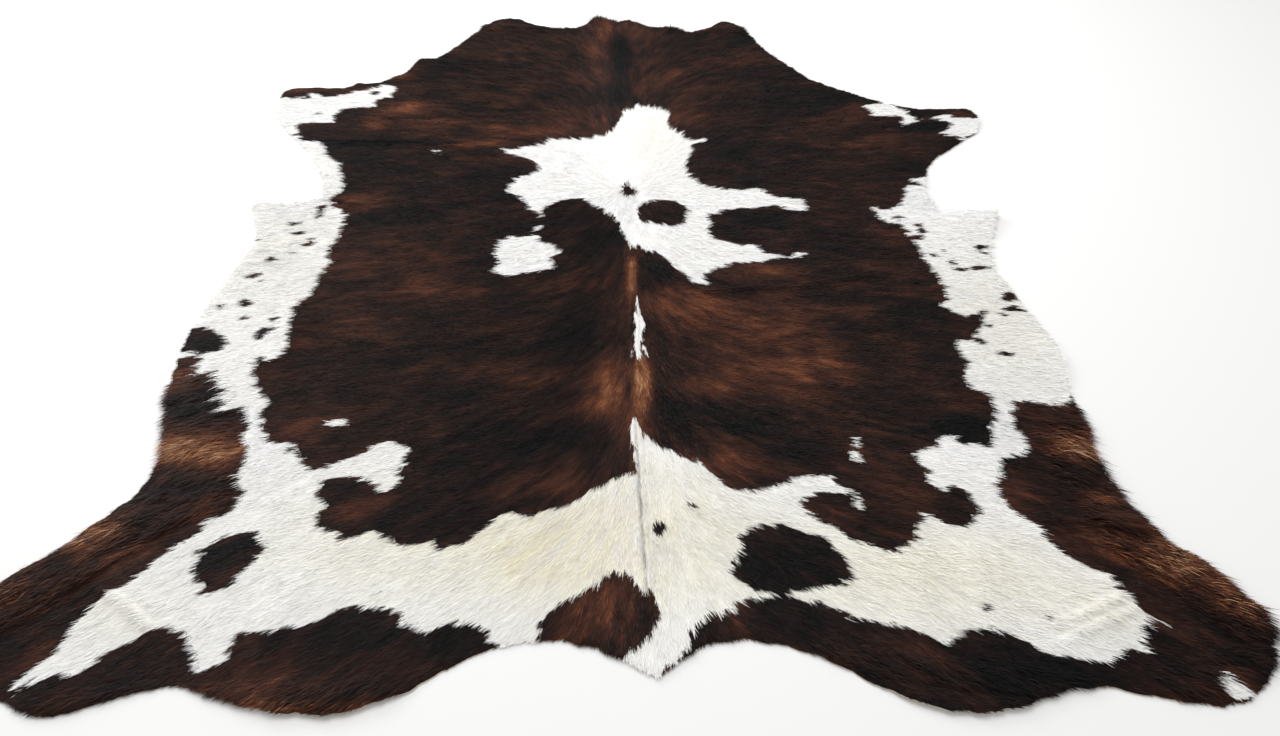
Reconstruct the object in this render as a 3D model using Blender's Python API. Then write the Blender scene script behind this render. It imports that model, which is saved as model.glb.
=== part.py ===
"""A whole cowhide rug: one cut hide, hair side up, lying flat on the floor with a few soft folds.

Run it with: blender --background --python part.py
Metres, +Z up, +Y towards the neck. The origin is under the middle of the hide's bounding box, on the floor.
The tables give places on the hide: X across it from the backbone, Y along it from mid-length to the neck.
"""

import math

import bmesh
import bpy
from mathutils import Vector
from mathutils.geometry import delaunay_2d_cdt

# Driving dimensions
THICKNESS = 0.005  # 2 mm of skin and 3 mm of hair lying on it
EDGE_STEP = 0.026  # spacing of the points along the cut edge
MESH_STEP = 0.047  # spacing of the points inside the edge
EDGE_CLEARANCE = 0.55  # inner points stay this many mesh steps inside the edge
FLAT_BELOW = 0.0004  # a fold's tail lower than this lies flat on the floor

# The cut edge, clockwise from the left corner of the neck. Each stretch is one smooth curve through its
# points, and it ends on the first point of the next one, where the knife turned a corner.
EDGE = (
    ("neck", ((-0.42, 1.115), (-0.37, 1.172), (-0.31, 1.175), (-0.25, 1.133), (-0.15, 1.105), (-0.10, 1.128),
              (-0.06, 1.172), (-0.012, 1.130), (0.04, 1.146), (0.10, 1.108), (0.16, 1.106), (0.22, 1.075),
              (0.28, 1.095), (0.335, 1.137), (0.38, 1.108))),
    ("right side of the neck", ((0.41, 1.045), (0.44, 0.965), (0.50, 0.862), (0.54, 0.800), (0.62, 0.727),
                                (0.73, 0.655), (0.80, 0.622), (0.88, 0.605))),
    ("right fore shank", ((0.965, 0.598), (0.985, 0.548), (0.965, 0.490))),
    ("right armpit", ((0.94, 0.470), (0.87, 0.410), (0.80, 0.342), (0.775, 0.280), (0.765, 0.220))),
    ("right brisket", ((0.775, 0.150), (0.84, 0.140))),
    ("right belly", ((0.915, 0.128), (0.880, 0.030), (0.857, -0.060), (0.876, -0.160), (0.905, -0.280),
                     (0.916, -0.360), (0.903, -0.460), (0.893, -0.560), (0.885, -0.640), (0.903, -0.740),
                     (0.950, -0.830))),
    ("right hind shank", ((1.000, -0.872), (1.035, -0.935), (1.049, -1.005), (1.030, -1.070), (0.980, -1.122),
                          (0.915, -1.139), (0.840, -1.126), (0.760, -1.103))),
    ("right rump", ((0.685, -1.102), (0.610, -1.127), (0.535, -1.139), (0.450, -1.122), (0.360, -1.070),
                    (0.260, -1.017), (0.160, -1.000), (0.090, -1.018))),
    ("tail root", ((0.045, -1.054), (0.028, -1.060), (0.010, -1.050), (-0.060, -1.010))),
    ("left rump", ((-0.130, -0.992), (-0.220, -0.998), (-0.300, -1.033), (-0.400, -1.085), (-0.500, -1.111),
                   (-0.600, -1.096), (-0.700, -1.059), (-0.770, -1.055))),
    ("left hind shank", ((-0.840, -1.073), (-0.930, -1.096), (-1.010, -1.066), (-1.080, -1.015),
                         (-1.118, -0.940), (-1.112, -0.875), (-1.075, -0.830))),
    ("left flank", ((-1.020, -0.782), (-0.965, -0.718), (-0.918, -0.655), (-0.905, -0.570), (-0.915, -0.490),
                    (-0.937, -0.400), (-0.946, -0.310))),
    ("left belly", ((-0.943, -0.220), (-0.925, -0.120), (-0.895, -0.010), (-0.876, 0.070), (-0.890, 0.150))),
    ("left brisket", ((-0.918, 0.222), (-0.850, 0.232), (-0.800, 0.236))),
    ("left armpit", ((-0.752, 0.250), (-0.765, 0.330), (-0.800, 0.410), (-0.850, 0.490), (-0.900, 0.550),
                     (-0.945, 0.630))),
    ("left fore shank", ((-0.958, 0.700), (-0.938, 0.768), (-0.850, 0.776), (-0.785, 0.774))),
    ("left side of the neck", ((-0.750, 0.805), (-0.690, 0.800), (-0.620, 0.862), (-0.585, 0.923),
                               (-0.540, 0.930), (-0.490, 1.000), (-0.450, 1.065))),
)

# Where the hide stands off the floor. Each fold is a soft ridge along a straight line:
# name, its start and end on the hide, half its width, and its height.
FOLDS = (
    ("backbone over the rump", (0.022, -0.97), (0.012, -0.45), 0.045, 0.0070),
    ("backbone over the loin", (0.012, -0.45), (0.020, 0.10), 0.040, 0.0060),
    ("backbone over the withers", (0.020, 0.32), (0.020, 0.70), 0.050, 0.0080),
    ("crest of the neck", (0.010, 0.74), (0.000, 1.12), 0.060, 0.0090),
    ("left flank fold", (-0.775, -0.345), (-0.730, -0.235), 0.040, 0.0130),
    ("right flank fold", (0.700, -0.455), (0.755, -0.375), 0.040, 0.0120),
    ("left belly wrinkle", (-0.890, 0.010), (-0.800, 0.020), 0.030, 0.0070),
    ("right belly ripple", (0.790, -0.400), (0.905, -0.385), 0.045, 0.0090),
    ("left brisket corner", (-0.905, 0.205), (-0.880, 0.120), 0.040, 0.0120),
    ("right brisket corner", (0.905, 0.125), (0.840, 0.105), 0.045, 0.0140),
    ("left armpit roll", (-0.760, 0.290), (-0.735, 0.390), 0.035, 0.0080),
    ("right armpit roll", (0.745, 0.190), (0.750, 0.255), 0.035, 0.0090),
    ("left rump wave", (-0.600, -0.960), (-0.560, -0.830), 0.050, 0.0050),
    ("right rump wave", (0.480, -0.990), (0.475, -0.860), 0.050, 0.0060),
    ("right thigh wave", (0.610, -0.965), (0.600, -0.850), 0.045, 0.0045),
    ("left hind shank crease", (-0.905, -0.870), (-0.815, -0.945), 0.030, 0.0070),
    ("right hind shank crease", (0.700, -1.035), (0.845, -0.950), 0.032, 0.0090),
    ("right thigh crease", (0.740, -0.792), (0.915, -0.795), 0.030, 0.0060),
    ("left rump lip", (-0.590, -1.098), (-0.400, -1.086), 0.035, 0.0080),
    ("right rump lip", (0.430, -1.115), (0.620, -1.128), 0.035, 0.0090),
    ("left shoulder roll", (-0.590, 0.915), (-0.520, 0.890), 0.040, 0.0080),
    ("right fore shank curl", (0.965, 0.560), (0.900, 0.575), 0.040, 0.0080),
    ("left fore shank curl", (-0.940, 0.720), (-0.880, 0.700), 0.040, 0.0080),
)

COAT_COLOUR = (0.085, 0.042, 0.030, 1.0)
COAT_ROUGHNESS = 0.55


def clear_scene():
    for obj in list(bpy.data.objects):
        bpy.data.objects.remove(obj)


def spline_point(before, start, end, after, t):
    """A point of the Catmull-Rom curve from start (t = 0) to end (t = 1)."""
    return 0.5 * (2 * start + t * (end - before) + t * t * (2 * before - 5 * start + 4 * end - after)
                  + t * t * t * (3 * start - before - 3 * end + after))


def smooth_stretch(corners):
    """Points about EDGE_STEP apart on the curve through corners, without the last corner."""
    held = [2 * corners[0] - corners[1], *corners, 2 * corners[-1] - corners[-2]]
    points = []
    for before, start, end, after in zip(held, held[1:], held[2:], held[3:]):
        steps = max(1, round((end - start).length / EDGE_STEP))
        points += [spline_point(before, start, end, after, i / steps) for i in range(steps)]
    return points


def cut_edge():
    """The closed edge of the hide, clockwise, moved so that its bounding box is centred on the origin."""
    points = []
    for i, (_, corners) in enumerate(EDGE):
        following = EDGE[(i + 1) % len(EDGE)][1][0]
        points += smooth_stretch([Vector(p) for p in (*corners, following)])
    low = Vector((min(p.x for p in points), min(p.y for p in points)))
    high = Vector((max(p.x for p in points), max(p.y for p in points)))
    middle = (low + high) / 2
    return [p - middle for p in points], middle


def distance_to_line(point, start, end):
    along = end - start
    share = (point - start).dot(along) / along.length_squared
    return (point - start - along * min(1.0, max(0.0, share))).length


def lift(point):
    """How far the underside stands off the floor at a place on the hide."""
    height = 0.0
    for _, start, end, half_width, rise in FOLDS:
        off = distance_to_line(point, Vector(start), Vector(end)) / half_width
        height = max(height, rise * math.exp(-off * off))
    return max(0.0, height - FLAT_BELOW)


def inside(point, edge):
    """Whether the point lies inside the closed edge, by counting the sides that a ray along +X crosses."""
    crossed = False
    for a, b in zip(edge, edge[1:] + edge[:1]):
        if (a.y > point.y) != (b.y > point.y):
            if point.x < a.x + (point.y - a.y) / (b.y - a.y) * (b.x - a.x):
                crossed = not crossed
    return crossed


def inner_points(edge):
    """A staggered grid of points that keeps clear of the edge."""
    clearance = EDGE_CLEARANCE * MESH_STEP
    row_height = MESH_STEP * math.sqrt(3) / 2
    width = max(p.x for p in edge)
    length = max(p.y for p in edge)
    rows = math.ceil(length / row_height)
    columns = math.ceil(width / MESH_STEP)
    found = []
    for row in range(-rows, rows + 1):
        stagger = 0.5 * (row % 2)
        for column in range(-columns, columns + 1):
            point = Vector(((column + stagger) * MESH_STEP, row * row_height))
            near = min(distance_to_line(point, a, b) for a, b in zip(edge, edge[1:] + edge[:1]))
            if near > clearance and inside(point, edge):
                found.append(point)
    return found


def coat_material():
    material = bpy.data.materials.new("coat")
    material.use_nodes = True
    shader = material.node_tree.nodes["Principled BSDF"]
    shader.inputs["Base Color"].default_value = COAT_COLOUR
    shader.inputs["Roughness"].default_value = COAT_ROUGHNESS
    shader.inputs["Metallic"].default_value = 0.0
    return material


def build_hide():
    """The hide as one sheet of even thickness. Its underside lies on the floor apart from the folds."""
    edge, middle = cut_edge()
    sides = [(i, (i + 1) % len(edge)) for i in range(len(edge))]
    points, _, faces, *_ = delaunay_2d_cdt(edge + inner_points(edge), sides, [], 1, 1e-6)
    sheet = bmesh.new()
    corners = [sheet.verts.new((p.x, p.y, lift(p + middle))) for p in points]
    for face in faces:
        sheet.faces.new([corners[i] for i in face])
    bmesh.ops.recalc_face_normals(sheet, faces=sheet.faces)
    if sum(face.normal.z for face in sheet.faces) < 0:
        bmesh.ops.reverse_faces(sheet, faces=sheet.faces)
    mesh = bpy.data.meshes.new("hide")
    sheet.to_mesh(mesh)
    sheet.free()
    mesh.shade_smooth()
    mesh.materials.append(coat_material())
    hide = bpy.data.objects.new("hide", mesh)
    bpy.context.scene.collection.objects.link(hide)
    body = hide.modifiers.new("Thickness", "SOLIDIFY")
    body.thickness = THICKNESS
    body.offset = 1.0
    return hide


clear_scene()
build_hide()
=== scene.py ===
import math

import bmesh
import bpy
import numpy as np
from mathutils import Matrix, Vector
from mathutils.bvhtree import BVHTree
from mathutils.geometry import delaunay_2d_cdt


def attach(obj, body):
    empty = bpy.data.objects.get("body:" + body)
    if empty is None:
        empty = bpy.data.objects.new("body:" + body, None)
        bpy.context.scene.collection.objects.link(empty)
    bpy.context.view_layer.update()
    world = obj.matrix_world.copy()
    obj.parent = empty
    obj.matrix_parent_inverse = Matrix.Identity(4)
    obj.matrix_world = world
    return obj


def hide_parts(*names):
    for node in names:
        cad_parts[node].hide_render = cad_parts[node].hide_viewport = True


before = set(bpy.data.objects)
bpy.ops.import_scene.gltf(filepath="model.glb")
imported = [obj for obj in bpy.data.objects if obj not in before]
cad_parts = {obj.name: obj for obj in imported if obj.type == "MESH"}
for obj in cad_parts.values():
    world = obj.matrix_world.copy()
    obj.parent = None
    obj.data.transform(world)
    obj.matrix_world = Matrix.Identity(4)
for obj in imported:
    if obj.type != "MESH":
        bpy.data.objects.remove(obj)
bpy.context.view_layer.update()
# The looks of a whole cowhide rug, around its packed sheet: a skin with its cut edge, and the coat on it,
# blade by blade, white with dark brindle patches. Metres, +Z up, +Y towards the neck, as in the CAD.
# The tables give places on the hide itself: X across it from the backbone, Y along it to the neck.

RANDOM = np.random.default_rng(41)

# Driving dimensions
HIDE_ZERO = np.array((0.0357, -0.0203))  # the tables' zero point, in the row frame
BACKBONE_X = 0.018
SKIN = 0.0022  # thickness of the tanned skin
SKIN_STEP = 0.0112  # spacing of the skin's points
EDGE_STEP = 0.006  # spacing of the points on the cut edge
EDGE_WAVER = 0.0016  # how far the knife strayed
EVENING_ROUNDS = 14  # how often the skin's heights are averaged
SHORT_BLADES = 169000  # in each of the four coat pieces
SHORT_LENGTH = 0.0155
SHORT_WIDTH = 0.0015
SHORT_TILT = math.radians(8)
LONG_WIDTH = 0.0012
LONG_TILT = math.radians(15)
LONG_CURL = 0.5  # how far a long hair's tip bends back to the skin
LONG_ROOTS = 900000  # roots to choose the long hair's from
TUFT_TURN = np.radians(5)  # how far tufts turn away from the flow
OWN_TURN = np.radians(8)  # and single hairs
OWN_ROLL = np.radians(14)  # how far hairs roll about their own length
LENGTH_SPREAD = 0.22  # shares by which lengths and widths differ
WIDTH_SPREAD = 0.25
ROOTED = 0.0003  # how deep a hair starts in the skin
RAGGED_FINE = 0.0026  # how ragged hair leaves the pattern's edges
RAGGED = 0.0028
HAIR_STANDS = 0.0135  # the highest that any hair stands over its root
HAIR_LOWEST = 0.0003  # and the lowest that it hangs, just over the floor
TRIMMED = 0.45  # share of its length that a hair keeps at the cut edge
TRIM_DEPTH = 0.018  # and how far inside the edge it is whole
EDGE_GRID = 0.008  # spacing of the grid that says how far inside the edge a place is
ROOT_SHADE = 0.80  # painted shade under the coat: how bright the skin between the hairs is drawn, beside the hairs
CREASE_STEP = 0.0045  # spacing of the skin's points beside a crease
FINE_CREASE = 0.012  # creases narrower than this get those points
GROOVE_SHADE = 0.55  # painted shade: how much darker the hair is drawn at the bottom of a groove
GRID_STEP = 0.0025
GRID_LOW = np.array((-1.28, -1.28))
GRID_HIGH = np.array((1.20, 1.32))

# Which way the hair lies, on the hide's right side. The left side mirrors it.
# place, direction
HAIR_FLOW = (
    ((0.00, 1.13), (0.05, 1.0)),
    ((0.00, 0.98), (0.10, 1.0)),
    ((0.00, 0.82), (0.10, 1.0)),
    ((0.00, 0.68), (0.10, 1.0)),
    ((0.03, 0.52), (0.35, 1.0)),
    ((0.03, 0.36), (0.40, 0.9)),
    ((0.12, 1.08), (0.75, 0.65)),
    ((0.12, 0.90), (1.0, 0.30)),
    ((0.12, 0.70), (1.0, 0.35)),
    ((0.14, 0.50), (0.90, 0.50)),
    ((0.14, 0.34), (1.0, 0.10)),
    ((0.30, 1.05), (0.90, 0.40)),
    ((0.35, 0.80), (1.0, 0.15)),
    ((0.35, 0.55), (1.0, 0.08)),
    ((0.60, 0.70), (1.0, 0.10)),
    ((0.60, 0.45), (1.0, -0.05)),
    ((0.85, 0.55), (1.0, -0.05)),
    ((0.02, 0.16), (0.60, -0.80)),
    ((0.14, 0.16), (1.0, -0.30)),
    ((0.35, 0.15), (1.0, -0.12)),
    ((0.60, 0.12), (1.0, -0.10)),
    ((0.85, 0.05), (1.0, -0.25)),
    ((0.02, -0.05), (0.55, -0.85)),
    ((0.14, -0.08), (0.95, -0.32)),
    ((0.02, -0.25), (0.55, -0.85)),
    ((0.14, -0.28), (0.92, -0.40)),
    ((0.35, -0.20), (1.0, -0.15)),
    ((0.60, -0.20), (1.0, -0.12)),
    ((0.83, -0.30), (1.0, -0.30)),
    ((0.02, -0.45), (0.50, -0.88)),
    ((0.14, -0.48), (0.86, -0.50)),
    ((0.35, -0.45), (1.0, -0.28)),
    ((0.60, -0.45), (1.0, -0.22)),
    ((0.84, -0.55), (0.90, -0.45)),
    ((0.02, -0.68), (0.40, -0.92)),
    ((0.16, -0.72), (0.80, -0.60)),
    ((0.38, -0.72), (0.95, -0.42)),
    ((0.62, -0.72), (0.95, -0.38)),
    ((0.86, -0.72), (0.82, -0.58)),
    ((0.02, -0.92), (0.15, -1.0)),
    ((0.18, -0.92), (0.70, -0.70)),
    ((0.40, -0.95), (0.80, -0.62)),
    ((0.65, -0.95), (0.85, -0.55)),
    ((0.98, -0.95), (0.82, -0.58)),
)
FLOW_REACH = 0.11  # how far each row's direction holds

# The pattern, painted in this order on a white coat. Each patch is a closed line of corners in millimetres,
# and those past the edge of the hide only carry it off the hide.
# name, colour, corners
PATCHES = (
    ("body, neck to right belly", "dark", (
        (-1300, 900), (-1100, 1400), (1300, 1400), (1300, 450), (790, 288), (747, 279), (727, 271),
        (706, 221), (682, 168), (647, 154), (606, 168), (618, 132), (632, 103), (665, 94), (682, 68),
        (668, 56), (682, 38), (693, 9), (691, -32), (715, -97), (712, -173), (700, -194), (718, -227),
        (741, -244), (777, -215), (797, -215), (777, -238), (759, -274), (723, -309), (702, -306),
        (697, -353), (703, -377), (686, -427), (691, -450), (732, -482), (732, -503), (718, -523),
        (703, -582),
        # along the top of the white rump
        (685, -609), (638, -594), (620, -573), (597, -568), (591, -594), (538, -615), (556, -659),
        (553, -685), (573, -703), (597, -691), (620, -700), (629, -750), (620, -768), (597, -788),
        (568, -785), (520, -744), (522, -765), (497, -806), (465, -836), (438, -835), (382, -803),
        (323, -759), (300, -715), (341, -703), (400, -700), (370, -665), (312, -656), (288, -677),
        (223, -693), (170, -679), (141, -635), (118, -615), (70, -588), (29, -550), (6, -503), (3, -553),
        (6, -623), (-3, -647), (-53, -665), (-100, -697), (-135, -718), (-176, -732), (-238, -732),
        (-273, -771), (-300, -794), (-341, -805), (-353, -794), (-429, -791), (-435, -773), (-462, -765),
        (-520, -775), (-550, -753), (-573, -751), (-562, -700), (-585, -668), (-579, -647), (-556, -635),
        (-491, -641), (-482, -656), (-450, -668), (-435, -653), (-432, -615), (-420, -573), (-468, -544),
        (-497, -562), (-515, -585), (-573, -612), (-603, -613), (-638, -579), (-644, -553), (-668, -544),
        (-700, -553),
        # up the left belly to the left fore shank
        (-720, -509), (-738, -453), (-718, -444), (-738, -421), (-759, -391), (-773, -356), (-773, -329),
        (-765, -315), (-744, -323), (-727, -315), (-715, -285), (-727, -194), (-732, -159), (-700, -112),
        (-697, -53), (-679, -20), (-691, 47), (-677, 79), (-677, 147), (-656, 191), (-679, 188),
        (-723, 229), (-703, 294), (-715, 359), (-729, 394), (-777, 450), (-779, 477), (-800, 500),
        (-835, 506), (-865, 529), (-862, 547), (-877, 570), (-870, 597), (-794, 591), (-762, 588),
        (-779, 600), (-779, 618), (-791, 629), (-768, 647), (-759, 665), (-712, 666), (-691, 670),
        (-665, 720), (-641, 718), (-631, 765), (-641, 782), (-677, 791), (-682, 771), (-747, 756),
        (-753, 741), (-818, 729), (-870, 738), (-862, 718), (-980, 715))),
    ("saddle", "white", (
        (65, 641), (118, 623), (135, 606), (123, 547), (159, 500), (170, 477), (223, 473), (188, 453),
        (188, 423), (156, 365), (168, 306), (188, 277), (235, 253), (282, 241), (338, 253), (388, 212),
        (435, 200), (459, 172), (441, 156), (365, 178), (247, 171), (200, 147), (206, 123), (194, 71),
        (218, 53), (270, 29), (300, 35), (323, 0), (376, -26), (403, 3), (420, -6), (412, -21), (335, -21),
        (276, -32), (218, -41), (168, -79), (182, -106), (147, -91), (112, -41), (70, 15), (20, 29),
        (6, 65), (-6, 123), (-47, 182), (-94, 227), (-147, 223), (-194, 194), (-191, 153), (-223, 197),
        (-262, 247), (-288, 271), (-262, 312), (-200, 350), (-247, 409), (-327, 438), (-241, 458),
        (-200, 465), (-177, 491), (-106, 482), (-53, 494), (-12, 518), (0, 565), (6, 606))),
    ("spot in the saddle", "dark", (
        (53, 212), (129, 209), (147, 188), (153, 147), (144, 127), (118, 112), (88, 120), (41, 127),
        (38, 188))),
    ("wisp on the backbone", "dark", (
        (0, 262), (18, 276), (35, 241), (41, 229), (10, 241))),
    ("left rib square", "white", (
        (-200, 85), (-197, 62), (-165, 47), (-141, 17), (-165, 1), (-156, -38), (-194, -52), (-253, -66),
        (-285, -62), (-297, -47), (-282, -18), (-300, 6), (-288, 62), (-265, 77))),
    ("wisp by the square", "white", ((-212, 98), (-196, 122), (-184, 124), (-198, 98))),
    ("line down the backbone", "white", (
        (31, -147), (33, -250), (30, -343), (13, -336), (20, -240), (26, -150))),
    ("left belly patch", "dark", (
        (-1100, -215), (-912, -217), (-897, -220), (-865, -241), (-848, -265), (-856, -282), (-891, -292),
        (-1100, -303))),
    ("left flank, hind shank and rump edge", "dark", (
        (-1400, -306), (-897, -306), (-891, -353), (-856, -353), (-820, -391), (-803, -438), (-815, -462),
        (-797, -447), (-773, -447), (-759, -468), (-750, -503), (-759, -538), (-738, -562), (-729, -591),
        (-741, -618), (-718, -668), (-723, -697), (-744, -720), (-768, -727), (-773, -750), (-820, -791),
        (-868, -856), (-900, -870), (-932, -929), (-953, -991), (-985, -1027), (-994, -1047), (-956, -1029),
        (-897, -1020), (-832, -965), (-803, -947), (-779, -944), (-756, -953), (-738, -979), (-720, -997),
        (-706, -1027), (-673, -1009), (-662, -970), (-650, -959), (-591, -956), (-527, -941), (-503, -920),
        (-468, -915), (-406, -924), (-379, -956), (-347, -966), (-282, -945), (-259, -953), (-241, -977),
        (-223, -1000), (-200, -1400), (-1400, -1400))),
    ("tail root", "dark", (
        (-47, -853), (-3, -870), (6, -894), (32, -912), (36, -935), (23, -991), (-18, -1015), (-53, -1100),
        (-180, -1100), (-167, -993), (-162, -959), (-129, -915), (-94, -900), (-65, -882))),
    ("right rump edge, hind shank and flank", "dark", (
        (1400, -491), (879, -483), (850, -503), (803, -487), (773, -491), (753, -523), (751, -559),
        (765, -588), (756, -618), (703, -629), (688, -682), (673, -703), (679, -729), (697, -759),
        (735, -794), (732, -818), (756, -853), (818, -891), (838, -953), (862, -988), (879, -997),
        (838, -991), (827, -1041), (797, -1038), (762, -1059), (732, -1059), (662, -1035), (644, -1015),
        (603, -1003), (585, -988), (556, -987), (506, -1009), (473, -1000), (427, -973), (359, -965),
        (306, -932), (247, -912), (194, -915), (153, -944), (129, -941), (112, -953), (88, -977),
        (88, -994), (65, -1023), (35, -1056), (30, -1400), (1400, -1400))),
    ("right hind foot", "white", (
        (929, -1077), (962, -1094), (973, -1115), (947, -1130), (923, -1100))),
    ("left rump oval", "dark", (
        (-697, -762), (-673, -760), (-656, -773), (-653, -794), (-682, -844), (-697, -870), (-723, -882),
        (-744, -873), (-770, -829), (-768, -800), (-750, -777))),
    ("right rump oval", "dark", (
        (235, -765), (265, -770), (300, -785), (347, -809), (365, -835), (373, -897), (323, -900),
        (300, -909), (247, -911), (200, -906), (170, -870), (170, -841), (188, -812), (188, -782))),
    ("right fore shank", "white", (
        (668, 629), (703, 635), (727, 641), (738, 700), (770, 700), (765, 640), (791, 600), (794, 577),
        (809, 559), (856, 559), (879, 570), (909, 559), (1020, 545), (1000, 470), (959, 476), (903, 456),
        (906, 473), (853, 485), (873, 500), (900, 515), (897, 535), (850, 553), (797, 547), (762, 529),
        (777, 565), (756, 577), (727, 570), (691, 573), (694, 606))),
)

# Single spots and ticks, in millimetres: place, half its width and length, colour
SPOTS = (
    ((-738, 200), (10, 25), "dark"),
    ((-797, 144), (8, 8), "dark"),
    ((-782, 147), (5, 5), "dark"),
    ((-773, 106), (14, 9), "dark"),
    ((-741, 72), (8, 12), "dark"),
    ((-868, 81), (8, 4), "dark"),
    ((-818, 9), (10, 6), "dark"),
    ((-826, 20), (4, 3), "dark"),
    ((-770, 31), (4, 3), "dark"),
    ((-844, -50), (10, 5), "dark"),
    ((-818, -66), (10, 6), "dark"),
    ((-809, -50), (3, 3), "dark"),
    ((-841, -138), (13, 9), "dark"),
    ((-892, -150), (8, 7), "dark"),
    ((-835, -185), (13, 10), "dark"),
    ((-765, -194), (6, 14), "dark"),
    ((-762, -226), (5, 6), "dark"),
    ((-782, -238), (12, 17), "dark"),
    ((-688, 741), (12, 10), "dark"),
    ((-825, 638), (10, 8), "dark"),
    ((-870, 535), (5, 4), "dark"),
    ((738, 254), (8, 7), "dark"),
    ((659, 122), (10, 8), "dark"),
    ((709, 79), (10, 15), "dark"),
    ((694, 44), (12, 9), "dark"),
    ((747, -9), (10, 6), "dark"),
    ((718, -22), (5, 4), "dark"),
    ((841, 3), (15, 8), "dark"),
    ((840, -19), (15, 6), "dark"),
    ((756, -53), (10, 14), "dark"),
    ((768, -76), (14, 10), "dark"),
    ((815, -73), (15, 7), "dark"),
    ((856, -173), (16, 16), "dark"),
    ((823, -191), (8, 6), "dark"),
    ((847, -215), (18, 9), "dark"),
    ((820, -229), (10, 6), "dark"),
    ((783, -263), (6, 5), "dark"),
    ((747, -320), (10, 16), "dark"),
    ((791, -355), (12, 8), "dark"),
    ((-656, -568), (4, 6), "dark"),
    ((-444, -888), (5, 5), "dark"),
    ((585, -953), (7, 5), "dark"),
    ((688, -973), (5, 5), "dark"),
    ((47, -770), (12, 17), "dark"),
    ((32, -642), (4, 5), "dark"),
    ((118, -719), (7, 3), "dark"),
    ((35, 33), (5, 5), "dark"),
    ((-570, -500), (15, 10), "white"),
    ((-476, 444), (14, 7), "white"),
    ((429, -603), (10, 23), "white"),
    ((409, -728), (4, 11), "white"),
)

# How warm the dark coat is: 0 is near black and 1 is tan.
WARMTH = 0.26
STREAK_WARMTH = 0.065  # how much the streaks change it
BLOTCH_WARMTH = 0.055
FINE_WARMTH = 0.022
OWN_WARMTH = 0.030  # how much single hairs differ everywhere
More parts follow.
